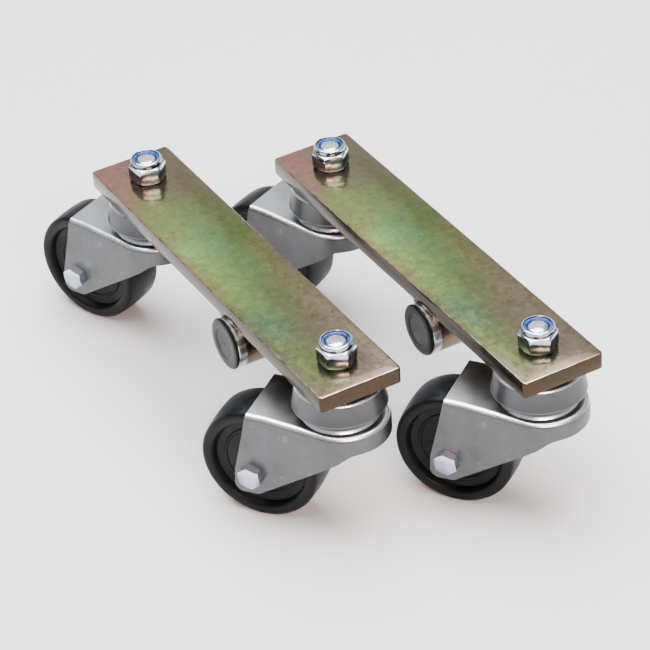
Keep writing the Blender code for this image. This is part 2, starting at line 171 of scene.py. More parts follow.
# Passivation colours along the bar, front to back, in three lanes across it.
LEFT_LANE = (
    (0.00, linear(118, 108, 84)),
    (0.14, linear(112, 124, 78)),
    (0.25, linear(98, 128, 92)),
    (0.37, linear(124, 148, 84)),
    (0.50, linear(134, 164, 92)),
    (0.61, linear(142, 180, 108)),
    (0.73, linear(138, 150, 88)),
    (0.86, linear(148, 126, 98)),
    (1.00, linear(156, 114, 102)),
)
MIDDLE_LANE = (
    (0.00, linear(120, 106, 86)),
    (0.22, linear(112, 106, 78)),
    (0.38, linear(106, 118, 74)),
    (0.50, linear(102, 134, 80)),
    (0.62, linear(106, 144, 94)),
    (0.72, linear(118, 134, 84)),
    (0.84, linear(120, 112, 88)),
    (1.00, linear(130, 108, 92)),
)
RIGHT_LANE = (
    (0.00, linear(116, 102, 90)),
    (0.30, linear(116, 104, 82)),
    (0.44, linear(114, 108, 74)),
    (0.54, linear(104, 108, 62)),
    (0.66, linear(92, 108, 58)),
    (0.77, linear(104, 98, 68)),
    (1.00, linear(116, 102, 84)),
)
EDGE_LANE = (
    (0.05, linear(104, 104, 78)),
    (0.30, linear(108, 114, 74)),
    (0.50, linear(160, 138, 90)),
    (0.70, linear(160, 134, 90)),
    (0.90, linear(158, 118, 102)),
)
BAR_SHADED_SIDE = linear(64, 54, 42)
BAR_ARRIS_HIGHLIGHT = linear(224, 198, 186)
SPECK = linear(70, 70, 46)


def passivated_bar(name, place):
    finish, tree, shader, where = new_finish(name, metallic=1.0)
    spot = centred(tree, where, place)
    drift = clouds(tree, spot, 42.0, detail=5.0, distortion=0.4)
    drift_x = span(tree, drift, 0.25, 0.75, -0.004, 0.004)
    slow = clouds(tree, spot, 30.0, detail=5.0)
    drift_y = span(tree, slow, 0.25, 0.75, -0.014, 0.014)
    axes = add_node(tree, "SeparateXYZ", {"Vector": spot})
    across = sums(tree, axes.outputs["X"], drift_x)
    along = sums(tree, axes.outputs["Y"], drift_y)
    run = add_node(
        tree, "MapRange", {"Value": along, "From Min": -0.135, "From Max": 0.135}
    ).outputs["Result"]
    left = ramp(tree, run, LEFT_LANE)
    middle = ramp(tree, run, MIDDLE_LANE)
    right = ramp(tree, run, RIGHT_LANE)
    colour = mixed(tree, span(tree, across, -0.016, 0.004), left, middle)
    colour = mixed(tree, span(tree, across, 0.000, 0.018), colour, right)
    # The film thins towards the left edge: straw in the middle, rose behind.
    edge_tint = ramp(tree, run, EDGE_LANE)
    left_edge = span(tree, across, -0.0165, -0.0265, 0.0, 0.85)
    colour = mixed(tree, left_edge, colour, edge_tint)
    right_edge = span(tree, across, 0.019, 0.025, 0.0, 0.7)
    colour = mixed(tree, right_edge, colour, RIGHT_LANE[1][1])
    # The sawn and rolled sides take one plain darker brown: painted shade.
    facing = add_node(tree, "NewGeometry").outputs["Normal"]
    upright = add_node(tree, "SeparateXYZ", {"Vector": facing}).outputs["Z"]
    colour = mixed(tree, span(tree, upright, 0.75, 0.35), colour, BAR_SHADED_SIDE)
    # Painted highlight: the rounded arrises, half upright, are lightened in patches to a pale
    # rose.
    painted_arris_highlight = sums(
        tree, span(tree, upright, 0.30, 0.55), span(tree, upright, 0.99, 0.92), "MULTIPLY"
    )
    patchy = span(tree, clouds(tree, spot, 120.0), 0.35, 0.6, 0.25, 0.95)
    painted_arris_highlight = sums(tree, painted_arris_highlight, patchy, "MULTIPLY")
    colour = mixed(tree, painted_arris_highlight, colour, BAR_ARRIS_HIGHLIGHT)
    # Cloudy mottling and small dark specks in the film.
    mottle = clouds(tree, spot, 260.0, detail=6.0, roughness=0.7)
    colour = mixed(
        tree, 0.6, colour, ramp(tree, mottle, (
            (0.30, (0.34, 0.34, 0.34, 1.0)),
            (0.52, (0.50, 0.50, 0.50, 1.0)),
            (0.75, (0.68, 0.68, 0.68, 1.0)),
        )), "OVERLAY",
    )
    cells = add_node(
        tree, "TexVoronoi", {"Vector": spot, "Scale": 210.0, "Randomness": 1.0}
    )
    thin = clouds(tree, spot, 55.0, detail=3.0)
    specks = sums(
        tree,
        span(tree, cells.outputs["Distance"], 0.20, 0.05),
        span(tree, thin, 0.46, 0.62),
        "MULTIPLY",
    )
    colour = mixed(tree, sums(tree, specks, 0.65, "MULTIPLY"), colour, SPECK)
    tree.links.new(colour, shader.inputs["Base Color"])
    tree.links.new(
        span(tree, mottle, 0.25, 0.8, 0.15, 0.25), shader.inputs["Roughness"]
    )
    skin = clouds(tree, spot, 520.0, detail=3.0)
    height = sums(tree, sums(tree, skin, 0.6, "MULTIPLY"), specks, "SUBTRACT")
    bumped(tree, shader, height, 0.16, 0.0001)
    return finish


def boolean(first, second, operation):
    """Cuts, joins or crosses two bmeshes with the exact solver."""
    made = []
    for number, bm in enumerate((first, second)):
        mesh = bpy.data.meshes.new(f"working_{number}")
        bm.to_mesh(mesh)
        bm.free()
        obj = bpy.data.objects.new(f"working_{number}", mesh)
        bpy.context.scene.collection.objects.link(obj)
        made.append(obj)
    step = made[0].modifiers.new("step", "BOOLEAN")
    step.object = made[1]
    step.operation = operation
    step.solver = "EXACT"
    graph = bpy.context.evaluated_depsgraph_get()
    result = bmesh.new()
    result.from_mesh(made[0].evaluated_get(graph).to_mesh())
    for obj in made:
        mesh = obj.data
        bpy.data.objects.remove(obj)
        bpy.data.meshes.remove(mesh)
    bmesh.ops.remove_doubles(result, verts=result.verts, dist=0.0005)
    return result


def cylinder(radius, low, high, steps=64, centre=(0.0, 0.0)):
    """A plain cylinder along Z."""
    bm = bmesh.new()
    bmesh.ops.create_cone(
        bm, cap_ends=True, segments=steps, radius1=radius, radius2=radius,
        depth=high - low,
        matrix=Matrix.Translation((centre[0], centre[1], (low + high) / 2)),
    )
    return bm


def softened(bm, width, angle=40.0, segments=2):
    """Breaks every edge sharper than angle."""
    edges = [
        edge for edge in bm.edges
        if len(edge.link_faces) == 2 and edge.calc_face_angle() > math.radians(angle)
    ]
    bmesh.ops.bevel(
        bm, geom=edges, offset=width, offset_type="OFFSET", affect="EDGES",
        segments=segments, profile=0.5, material=-1, clamp_overlap=True,
    )
    return bm


def finished(name, bm, place, finish, body, nodes, sharp=35.0):
    """Puts a shape made in millimetres in its place, as a piece on its body."""
    bmesh.ops.transform(bm, matrix=place @ Matrix.Scale(MM, 4), verts=bm.verts)
    mesh = bpy.data.meshes.new(name)
    bm.to_mesh(mesh)
    bm.free()
    mesh.materials.append(finish)
    mesh.shade_smooth()
    mesh.set_sharp_from_angle(angle=math.radians(sharp))
    made = bpy.data.objects.new(name, mesh)
    bpy.context.scene.collection.objects.link(made)
    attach(made, body)
    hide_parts(*nodes)
    return made


def bar_shape():
    bm = bmesh.new()
    bmesh.ops.create_cube(bm, size=1.0)
    bmesh.ops.scale(bm, vec=BAR_SIZE, verts=bm.verts)
    bmesh.ops.translate(bm, vec=(0.0, 0.0, BAR_SIZE.z / 2), verts=bm.verts)
    corners = [
        edge for edge in bm.edges
        if abs(edge.verts[0].co.z - edge.verts[1].co.z) > 1.0
    ]
    bmesh.ops.bevel(
        bm, geom=corners, offset=BAR_CORNER, offset_type="OFFSET", affect="EDGES",
        segments=4, profile=0.5, material=-1,
    )
    softened(bm, BAR_ARRIS, angle=60.0, segments=3)
    for along in (-BAR_HOLE_REACH, BAR_HOLE_REACH):
        drill = cylinder(BAR_HOLE_RADIUS, -5.0, 15.0, centre=(0.0, along))
        bm = boolean(bm, drill, "DIFFERENCE")
    return bm


for side in SIDES:
    finished(
        side + "_flat_bar", bar_shape(), Matrix.Translation(BAR_PLACE[side]),
        passivated_bar(side + "_bar_passivation", BAR_PLACE[side]),
        "bogie_bars", [side + "_bar"],
    )

# -------------------------------------------------------------- cross tubes
# A 52 mm length of 30 x 2 mm round tube crosses each bar underneath and takes
# the foot of the stand.  It is passivated with the bar, so it is the same brown,
# darkened to olive below by painted shade, and its sawn ends are filed round and
# painted with dashed highlights.
TUBE_RADIUS = 15.0
TUBE_WALL = 2.0
TUBE_ENDS = (-26.3, 25.7)
TUBE_FORWARD = 31.0
TUBE_UNDER = 15.3
TUBE_FILED = 0.35
LYING = Matrix.Rotation(math.radians(90), 4, "Y")


def turned(points, steps=96):
    """A turned shape about Z from a closed outline of (radius, height) points."""
    bm = bmesh.new()
    corners = [bm.verts.new((radius, 0.0, height)) for radius, height in points]
    edges = []
    for number, corner in enumerate(corners):
        following = corners[(number + 1) % len(corners)]
        if corner.co.x > 1e-6 or following.co.x > 1e-6:
            edges.append(bm.edges.new((corner, following)))
    bmesh.ops.spin(
        bm, geom=corners + edges, cent=(0.0, 0.0, 0.0), axis=(0.0, 0.0, 1.0),
        dvec=(0.0, 0.0, 0.0), angle=math.tau, steps=steps, use_merge=True,
        use_duplicate=False,
    )
    bmesh.ops.remove_doubles(bm, verts=bm.verts, dist=0.0005)
    bmesh.ops.recalc_face_normals(bm, faces=bm.faces)
    return bm


def tube_place(side):
    """The tube's middle, with its axis across the bar."""
    spot = BAR_PLACE[side] + Vector((0.0, -TUBE_FORWARD, -TUBE_UNDER)) * MM
    return Matrix.Translation(spot) @ LYING


def passivated_tube(name, place, heat=False):
    finish, tree, shader, where = new_finish(name, metallic=1.0)
    spot = centred(tree, where, place)
    drift = clouds(tree, spot, 70.0, detail=5.0, distortion=0.5)
    colour = ramp(tree, drift, (
        (0.28, linear(112, 92, 74)),
        (0.46, linear(132, 112, 90)),
        (0.60, linear(124, 120, 86)),
        (0.78, linear(104, 116, 84)),
    ))
    level = add_node(tree, "SeparateXYZ", {"Vector": spot}).outputs["Z"]
    # Painted shade: the lower half of the tube darkens to an olive grey.
    shaded_underside = span(tree, level, -0.003, -0.013, 0.0, 0.8)
    colour = mixed(tree, shaded_underside, colour, linear(70, 80, 62))
    if not heat:
        # The sawn end is filed round, and a near-white band of short dashes is painted on it as
        # highlight.
        axes = add_node(tree, "SeparateXYZ", {"Vector": spot})
        turn = add_node(
            tree, "Math", {0: axes.outputs["Z"], 1: axes.outputs["Y"]}, operation="ARCTAN2"
        ).outputs[0]
        dash_pattern = add_node(
            tree, "Math", {0: sums(tree, turn, 9.0, "MULTIPLY")}, operation="SINE"
        ).outputs[0]
        dash_pattern = span(tree, dash_pattern, -0.75, -0.35, 0.25, 1.0)
        near_end = span(tree, axes.outputs["X"], -0.0212, -0.0218)
        painted_highlight_dashes = sums(tree, near_end, dash_pattern, "MULTIPLY")
        colour = mixed(tree, painted_highlight_dashes, colour, (0.96, 0.90, 0.95, 1.0))
    if heat:
        fine = clouds(tree, spot, 500.0, detail=4.0)
        scale = span(tree, fine, 0.35, 0.7, 0.2, 0.8)
        colour = mixed(tree, scale, colour, linear(86, 74, 66))
    tree.links.new(colour, shader.inputs["Base Color"])
    tree.links.new(span(tree, drift, 0.3, 0.7, 0.24, 0.38), shader.inputs["Roughness"])
    bumped(tree, shader, clouds(tree, spot, 480.0, detail=4.0), 0.2, 0.00015)
    return finish


for side in SIDES:
    low_end, high_end = TUBE_ENDS
    outer, inner = TUBE_RADIUS, TUBE_RADIUS - TUBE_WALL
    tube = turned((
        (outer - TUBE_FILED, high_end),
        (outer, high_end - TUBE_FILED),
        (outer, low_end + TUBE_FILED),
        (outer - TUBE_FILED, low_end),
        (inner + TUBE_FILED, low_end),
        (inner, low_end + TUBE_FILED),
        (inner, high_end - TUBE_FILED),
        (inner + TUBE_FILED, high_end),
    ))
    place = tube_place(side)
    finished(
        side + "_socket_tube", tube, place,
        passivated_tube(side + "_tube_passivation", place.translation),
        "bogie_bars", [side + "_cross_tube"],
    )

# -------------------------------------------------------------------- welds
# A short bead runs along each side of the tube where it meets the bar.  The
# beads are hand laid, so they are rippled every couple of millimetres, and they
# took the passivation darker than the steel beside them.
WELD_HALF_LENGTH = 22.0
WELD_RIPPLE = 2.2
WELD_RADIUS = 3.4
WELD_OUT = 10.4
WELD_DROP = 2.5


def weld_shape():
    bm = bmesh.new()
    rings = int(2 * WELD_HALF_LENGTH / WELD_RIPPLE)
    for number in range(rings):
        along = -WELD_HALF_LENGTH + (number + 0.5) * WELD_RIPPLE
        wander = 0.25 * math.sin(number * 1.7)
        place = (
            Matrix.Translation((wander, wander * 0.6, along))
            @ Matrix.Rotation(math.radians(24), 4, "Y")
            @ Matrix.Diagonal((1.0, 1.0, 0.62, 1.0))
        )
        drop = bmesh.new()
        bmesh.ops.create_uvsphere(
            drop, u_segments=20, v_segments=10,
            radius=WELD_RADIUS * (1.0 + 0.05 * math.sin(number * 2.3)), matrix=place,
        )
        if number == 0:
            bm.free()
            bm = drop
        else:
            bm = boolean(bm, drop, "UNION")
    return bm


weld_master = weld_shape()
for side in SIDES:
    spot = BAR_PLACE[side] + Vector((0.0, -TUBE_FORWARD, -WELD_DROP)) * MM
    heat = passivated_tube(side + "_weld_passivation", spot, heat=True)
    for word, step in (("front", -1), ("back", 1)):
        place = Matrix.Translation(spot + Vector((0.0, step * WELD_OUT, 0.0)) * MM)
        finished(
            f"{side}_{word}_weld_bead", weld_master.copy(),
            place @ LYING, heat,
            "bogie_bars", [f"{side}_weld_{word}"],
        )
weld_master.free()

# --------------------------------------------------------------- tube plugs
# A glossy black moulded plug closes the left end of each tube.  It has a rolled
# rim, a flat middle with a small gate dimple, and a hollow stem that holds in
# the bore.
PLUG_FLANGE = 1.9
PLUG_RIM = 15.1
PLUG_STEM = 12.7
PLUG_DISC = 8.4


def plug_finish(name, place):
    finish, tree, shader, where = new_finish(name)
    spot = centred(tree, where, place)
    haze = clouds(tree, spot, 160.0, detail=5.0)
    axes = add_node(tree, "SeparateXYZ", {"Vector": spot})
    reach = add_node(tree, "CombineXYZ", {"Y": axes.outputs["Y"], "Z": axes.outputs["Z"]})
    radius = add_node(
        tree, "VectorMath", {0: reach.outputs["Vector"]}, operation="LENGTH"
    ).outputs["Value"]
    # Painted reflection: the flat middle is a clouded lighter grey, and rougher, standing in for
    # the surround it mirrors.
    painted_reflection = span(tree, radius, 0.0088, 0.0078)
    painted_reflection = sums(tree, painted_reflection, span(tree, haze, 0.3, 0.6, 0.6, 1.0), "MULTIPLY")
    colour = mixed(tree, painted_reflection, linear(8, 9, 9), linear(70, 73, 71))
    tree.links.new(colour, shader.inputs["Base Color"])
    tree.links.new(span(tree, painted_reflection, 0.0, 1.0, 0.30, 0.55), shader.inputs["Roughness"])
    shader.inputs["Specular IOR Level"].default_value = 0.12
    bumped(tree, shader, clouds(tree, spot, 900.0, detail=2.0), 0.08, 0.0001)
    return finish


def plug_shape():
    bm = turned((
        (0.0, PLUG_FLANGE - 0.75),
        (0.5, PLUG_FLANGE - 0.75),
        (0.9, PLUG_FLANGE - 0.45),
        (PLUG_DISC, PLUG_FLANGE - 0.42),
        (PLUG_DISC + 0.5, PLUG_FLANGE - 0.25),
        (PLUG_DISC + 1.2, PLUG_FLANGE - 0.05),
        (PLUG_DISC + 2.2, PLUG_FLANGE),
        (PLUG_RIM - 2.2, PLUG_FLANGE),
        (PLUG_RIM - 1.1, PLUG_FLANGE - 0.15),
        (PLUG_RIM - 0.4, PLUG_FLANGE - 0.5),
        (PLUG_RIM - 0.08, PLUG_FLANGE - 0.95),
        (PLUG_RIM, 0.7),
        (PLUG_RIM - 0.2, 0.12),
        (PLUG_STEM, 0.12),
        (PLUG_STEM, -11.0),
        (PLUG_STEM - 0.8, -12.0),
        (PLUG_STEM - 1.8, -12.0),
        (PLUG_STEM - 1.8, -0.9),
        (0.0, -0.9),
    ), steps=112)
    return bm


plug_master = plug_shape()
for side in SIDES:
    spot = tube_place(side).translation + Vector((TUBE_ENDS[0] * MM, 0.0, 0.0))
    place = Matrix.Translation(spot) @ Matrix.Rotation(math.radians(-90), 4, "Y")
    finished(
        side + "_end_plug", plug_master.copy(), place,
        plug_finish(side + "_plug_plastic", spot),
        "bogie_bars", [side + "_tube_plug"],
    )
plug_master.free()

# ------------------------------------------------------------ raceway cups
# The upper raceway of each castor is a deep cup pressed from 2.5 mm sheet and
# bright zinc plated.  The king bolt clamps its raised middle to the bar, and its
# flared wall shields the balls.
CASTORS = {}
for side in SIDES:
    for end in ("front", "back"):
        CASTORS[f"{side}_{end}"] = side
CUP_RIM = 26.3
CUP_RIM_DROP = 16.6
CUP_SHEET = 2.5
KING_BORE = 6.3

JOINTS = {joint["name"]: joint for joint in frame["joints"]}
KING_PLACE = {}
AXLE_PLACE = {}
TRAIL_TURN = {}
for castor, side in CASTORS.items():
    king = Vector(JOINTS[castor + "_swivel"]["pos_m"])
    spin = JOINTS[castor + "_wheel_spin"]
    TRAIL_TURN[castor] = math.atan2(spin["axis"][1], spin["axis"][0])
    turn = Matrix.Rotation(TRAIL_TURN[castor], 4, "Z")
    spot = Vector((king.x, king.y, BAR_PLACE[side].z))
    KING_PLACE[castor] = Matrix.Translation(spot) @ turn
    AXLE_PLACE[castor] = Matrix.Translation(Vector(spin["pos_m"])) @ turn


def zinc_pressing(name, place, turn):
    """Bright zinc on drawn sheet: satin and clouded, with painted shade on upright walls,
    painted light on the flats and a painted highlight on the folds.
    """
    finish, tree, shader, where = new_finish(name, metallic=1.0)
    spot = centred(tree, where, place, turn)
    haze = clouds(tree, spot, 45.0, detail=6.0, roughness=0.6)
    grain = clouds(tree, spot, 700.0, detail=3.0)
    # Painted shade and light: upright walls take a dark grey and flat tops a light grey of the
    # same zinc.
    shaded_walls = ramp(tree, haze, (
        (0.30, linear(82, 84, 84)),
        (0.50, linear(90, 92, 94)),
        (0.72, linear(98, 101, 106)),
    ))
    flats = ramp(tree, haze, (
        (0.30, linear(152, 155, 157)),
        (0.50, linear(164, 167, 170)),
        (0.72, linear(172, 176, 182)),
    ))
    facing = add_node(tree, "NewGeometry").outputs["Normal"]
    upright = add_node(tree, "SeparateXYZ", {"Vector": facing}).outputs["Z"]
    colour = mixed(tree, span(tree, upright, 0.90, 0.99), shaded_walls, flats)
    # Painted highlight: the folds, between flat and upright, are painted near white and made a
    # little glossier.
    painted_fold_highlight = sums(
        tree, span(tree, upright, 0.32, 0.60), span(tree, upright, 0.998, 0.95), "MULTIPLY"
    )
    colour = mixed(tree, painted_fold_highlight, colour, linear(248, 249, 253))
    stretch = add_node(
        tree, "Mapping", {"Vector": spot, "Scale": (900.0, 60.0, 120.0)}
    ).outputs["Vector"]
    scuffs = span(tree, clouds(tree, stretch, 1.0, detail=3.0), 0.64, 0.76, 0.0, 0.10)
    colour = mixed(tree, scuffs, colour, linear(190, 192, 196))
    tree.links.new(colour, shader.inputs["Base Color"])
    satin = span(tree, haze, 0.3, 0.7, 0.32, 0.42)
    rough = sums(tree, satin, sums(tree, painted_fold_highlight, -0.08, "MULTIPLY"))
    tree.links.new(rough, shader.inputs["Roughness"])
    height = sums(tree, grain, sums(tree, haze, 2.0, "MULTIPLY"))
    bumped(tree, shader, height, 0.06, 0.0001)
    return finish


def arc(centre, radius, start, end, steps):
    """Points of an arc in an outline, angles in degrees."""
    made = []
    for step in range(steps + 1):
        angle = math.radians(start + (end - start) * step / steps)
        made.append((
            centre[0] + radius * math.cos(angle),
            centre[1] + radius * math.sin(angle),
        ))
    return made


CUP_OUTLINE = (
    [(KING_BORE, -0.1), (15.0, -0.1), (15.9, -0.6), (16.7, -2.2), (17.6, -2.9)]
    + arc((22.0, -5.4), 2.4, 90.0, 10.0, 6)
    + [(CUP_RIM - 0.25, -15.6), (CUP_RIM, -16.1), (CUP_RIM - 0.2, -CUP_RIM_DROP)]
    + [(CUP_RIM - CUP_SHEET + 0.2, -CUP_RIM_DROP), (CUP_RIM - CUP_SHEET, -16.2)]
    + arc((21.0, -6.3), 0.9, 10.0, 90.0, 3)
    + [(15.2, -5.4), (13.8, -2.9), (KING_BORE, -2.7)]
)

PRESSINGS = {}
for castor in CASTORS:
    spot = KING_PLACE[castor].translation
    PRESSINGS[castor] = zinc_pressing(castor + "_zinc_sheet", spot, TRAIL_TURN[castor])
    finished(
        castor + "_raceway_cup", turned(CUP_OUTLINE), KING_PLACE[castor],
        PRESSINGS[castor], "bogie_bars", [castor + "_upper_cup"],
    )

# ------------------------------------------------------- races and balls
# Under the fork's head a dished lower race on a hollow stem closes the swivel.
# Two rings of bearing balls run above and below the head, in grease.
RACE_TOP = -20.0
RACE_STEM = 8.2


def ball_finish(name):
    finish, tree, shader, where = new_finish(name, metallic=1.0)
    grease = clouds(tree, where, 240.0, detail=4.0)
    colour = ramp(tree, grease, (
        (0.40, (0.50, 0.51, 0.52, 1.0)),
        (0.62, (0.20, 0.16, 0.09, 1.0)),
    ))
    tree.links.new(colour, shader.inputs["Base Color"])
    tree.links.new(span(tree, grease, 0.4, 0.65, 0.12, 0.42), shader.inputs["Roughness"])
    return finish


BALL_FINISH = ball_finish("greased_ball_steel")
for castor in CASTORS:
    race = turned(
        [(RACE_STEM, -3.1), (RACE_STEM, RACE_TOP), (14.6, RACE_TOP)]
        + [(15.0, -18.2), (15.5, -17.8), (16.4, -17.8), (16.7, -18.4)]
        + arc((14.6, -20.4), 2.0, 0.0, -90.0, 5)
        + [(KING_BORE, -22.4), (KING_BORE, -3.1)]
    )
    finished(
        castor + "_lower_race", race, KING_PLACE[castor], PRESSINGS[castor],
        "bogie_bars", [castor + "_race_sleeve"],
    )
    for ring in ("upper", "lower"):
        ball_ring = frame["nodes"][f"{castor}_{ring}_balls"]
        ball_ring.data.materials.clear()
        ball_ring.data.materials.append(BALL_FINISH)

# -------------------------------------------------------------------- forks
# Each fork is one pressing of 2.5 mm sheet: a flat top with the swivel head drawn
# up in it, folded down round the nose into two cheeks that taper back and down to
# the axle.  Bright zinc plated, its edges left as blanked.
SHEET = 2.5
FORK_TOP = -23.5
HEAD_TOP = -12.5
HEAD_RADIUS = 20.0
NOSE_RADIUS = 25.6
NOSE_CENTRE = -1.9
CHEEK_HALF = 21.2
CHEEK_STRAIGHT = 38.0
FOLD_RADIUS = 3.3
INNER_FOLD = 0.7
HEAD_BORE = 8.5
PIN_RADIUS = 4.3
BLANKED_EDGE = 0.35
TRAIL = 46.0
AXLE_DROP = 63.0
FORK_TAIL = 62.0
HOLLOW_TAIL = 70.0


def fork_plan(inset, tail):
    """The fork seen from above: round nose, tapering then parallel cheeks."""
    radius = NOSE_RADIUS - inset
    half = CHEEK_HALF - inset
    reach = CHEEK_STRAIGHT - NOSE_CENTRE
    lean = math.asin(radius / math.hypot(half, reach))
    touch = math.degrees(lean - math.atan2(half, reach))
    return (
        [(half, tail), (half, CHEEK_STRAIGHT + 2.0), (half + 0.05, CHEEK_STRAIGHT)]
        + arc((0.0, NOSE_CENTRE), radius, touch, -180.0 - touch, 48)
        + [(-half - 0.05, CHEEK_STRAIGHT), (-half, CHEEK_STRAIGHT + 2.0), (-half, tail)]
    )


def slab(outline, low, high):
    """An outline in the XY plane, extruded from low to high."""
    bm = bmesh.new()
    corners = [bm.verts.new((x, y, low)) for x, y in outline]
    face = bm.faces.new(corners)
    raised = bmesh.ops.extrude_face_region(bm, geom=[face])
    moved = [item for item in raised["geom"] if isinstance(item, bmesh.types.BMVert)]
    bmesh.ops.translate(bm, verts=moved, vec=(0.0, 0.0, high - low))
    bmesh.ops.recalc_face_normals(bm, faces=bm.faces)
    return bm


def folded(bm, level, tail, radius, segments):
    """Rounds the edges of the flat at level, except across the open tail."""
    edges = []
    for edge in bm.edges:
        first, second = (vert.co for vert in edge.verts)
        on_flat = abs(first.z - level) < 0.01 and abs(second.z - level) < 0.01
        if on_flat and min(first.y, second.y) < tail - 0.1:
            edges.append(edge)
    bmesh.ops.bevel(
        bm, geom=edges, offset=radius, offset_type="OFFSET", affect="EDGES",
        segments=segments, profile=0.5, material=-1,
    )
    return bm


FORK_SIDE = (
    [(-40.0, -5.0), (47.5, -5.0), (47.5, FORK_TOP)]
    + [(48.9, -30.0), (50.6, -38.0), (52.6, -46.5), (54.6, -55.0), (56.4, -62.5)]
    + arc((51.6, -71.2), 5.5, 15.0, -90.0, 10)
    + [(46.5, -76.6)]
    + arc((45.2, -69.6), 7.1, -100.0, -125.0, 4)
    + [(-3.5, -43.6)]
    + [(-7.5, -41.0), (-10.5, -38.6), (-13.0, -36.6), (-15.5, -35.4), (-18.5, -35.0)]
    + [(-40.0, -35.0)]
)


def fork_shape():
    blank = slab(fork_plan(0.0, FORK_TAIL), -80.0, FORK_TOP)
    bm = folded(blank, FORK_TOP, FORK_TAIL, FOLD_RADIUS, 7)
    side = slab([(y, z) for y, z in FORK_SIDE], -40.0, 40.0)
    # The side outline is drawn as (y, z), then laid across the fork, along X.
    across = Matrix(((0, 0, 1, 0), (1, 0, 0, 0), (0, 1, 0, 0), (0, 0, 0, 1)))
    bmesh.ops.transform(side, matrix=across, verts=side.verts)
    bm = boolean(bm, side, "INTERSECT")
    head = turned(
        [(0.0, HEAD_TOP)]
        + arc((HEAD_RADIUS - 1.6, HEAD_TOP - 1.6), 1.6, 90.0, 4.0, 5)
        + [(HEAD_RADIUS + 0.6, FORK_TOP + 2.0), (HEAD_RADIUS + 1.3, FORK_TOP + 0.8)]
        + [(HEAD_RADIUS + 1.9, FORK_TOP + 0.1), (HEAD_RADIUS + 2.1, FORK_TOP - 0.8)]
        + [(0.0, FORK_TOP - 0.8)]
    )
    bm = boolean(bm, head, "UNION")
    hollow = folded(
        slab(fork_plan(SHEET, HOLLOW_TAIL), -90.0, FORK_TOP - SHEET),
        FORK_TOP - SHEET, HOLLOW_TAIL, INNER_FOLD, 2,
    )
    bm = boolean(bm, hollow, "DIFFERENCE")
    dome = turned(
        [(0.0, HEAD_TOP - SHEET)]
        + arc((HEAD_RADIUS - SHEET - 1.0, HEAD_TOP - SHEET - 1.0), 1.0, 90.0, 4.0, 4)
        + [(HEAD_RADIUS - SHEET + 0.8, FORK_TOP - SHEET - 3.0)]
        + [(0.0, FORK_TOP - SHEET - 3.0)]
    )
    bm = boolean(bm, dome, "DIFFERENCE")
    bm = boolean(bm, cylinder(HEAD_BORE, -30.0, -5.0), "DIFFERENCE")
    pin = cylinder(PIN_RADIUS, -40.0, 40.0, steps=40)
    bmesh.ops.transform(
        pin, verts=pin.verts,
        matrix=Matrix.Translation((0.0, TRAIL, -AXLE_DROP)) @ LYING,
    )
    return boolean(bm, pin, "DIFFERENCE")


fork_master = fork_shape()
for castor in CASTORS:
    fork = finished(
        castor + "_pressed_fork", fork_master.copy(), KING_PLACE[castor],
        PRESSINGS[castor], castor + "_swivel_body", [castor + "_fork"],
        sharp=28.0,
    )
    blanked = fork.modifiers.new("blanked edge", "BEVEL")
    blanked.limit_method = "ANGLE"
    blanked.angle_limit = math.radians(60)
    blanked.width = BLANKED_EDGE * MM
    blanked.segments = 2
fork_master.free()

# -------------------------------------------------------------- king bolts
# An M12 bolt comes up through the lower race, the fork's head, the cup and the
# bar.  Its six-sided head faces the wheel, and its end just fills the lock nut.
BOLT_RADIUS = 6.0
BOLT_TIP = 22.9
HEAD_SEAT = -22.7
HEAD_HEIGHT = 7.5
HEAD_FLATS = 19.0
BOLT_PITCH = 1.75


def zinc_fastener(name):
    """Bright zinc on machined steel: nearly a mirror, with painted light on its tops and painted
    blue shade on its upright flats.
    """
    finish, tree, shader, where = new_finish(name, metallic=1.0)
    haze = clouds(tree, where, 130.0, detail=5.0)
    grain = clouds(tree, where, 900.0, detail=2.0)
    # Painted light and shade: faces that look up are near white, upright flats a darker blue
    # grey.
    lit_tops = ramp(tree, haze, (
        (0.32, linear(206, 212, 222)),
        (0.55, linear(226, 230, 236)),
        (0.75, linear(236, 236, 232)),
    ))
    flats = ramp(tree, haze, (
        (0.32, linear(110, 122, 156)),
        (0.60, linear(172, 178, 196)),
    ))
    facing = add_node(tree, "NewGeometry").outputs["Normal"]
    upright = add_node(tree, "SeparateXYZ", {"Vector": facing}).outputs["Z"]
    colour = mixed(tree, span(tree, upright, 0.05, 0.35), flats, lit_tops)
    tree.links.new(colour, shader.inputs["Base Color"])
    bright = span(tree, haze, 0.3, 0.7, 0.09, 0.16)
    rough = sums(tree, bright, sums(tree, grain, 0.04, "MULTIPLY"))
    tree.links.new(rough, shader.inputs["Roughness"])
    bumped(tree, shader, grain, 0.05, 0.0001)
    return finish


FASTENER = zinc_fastener("zinc_fastener")


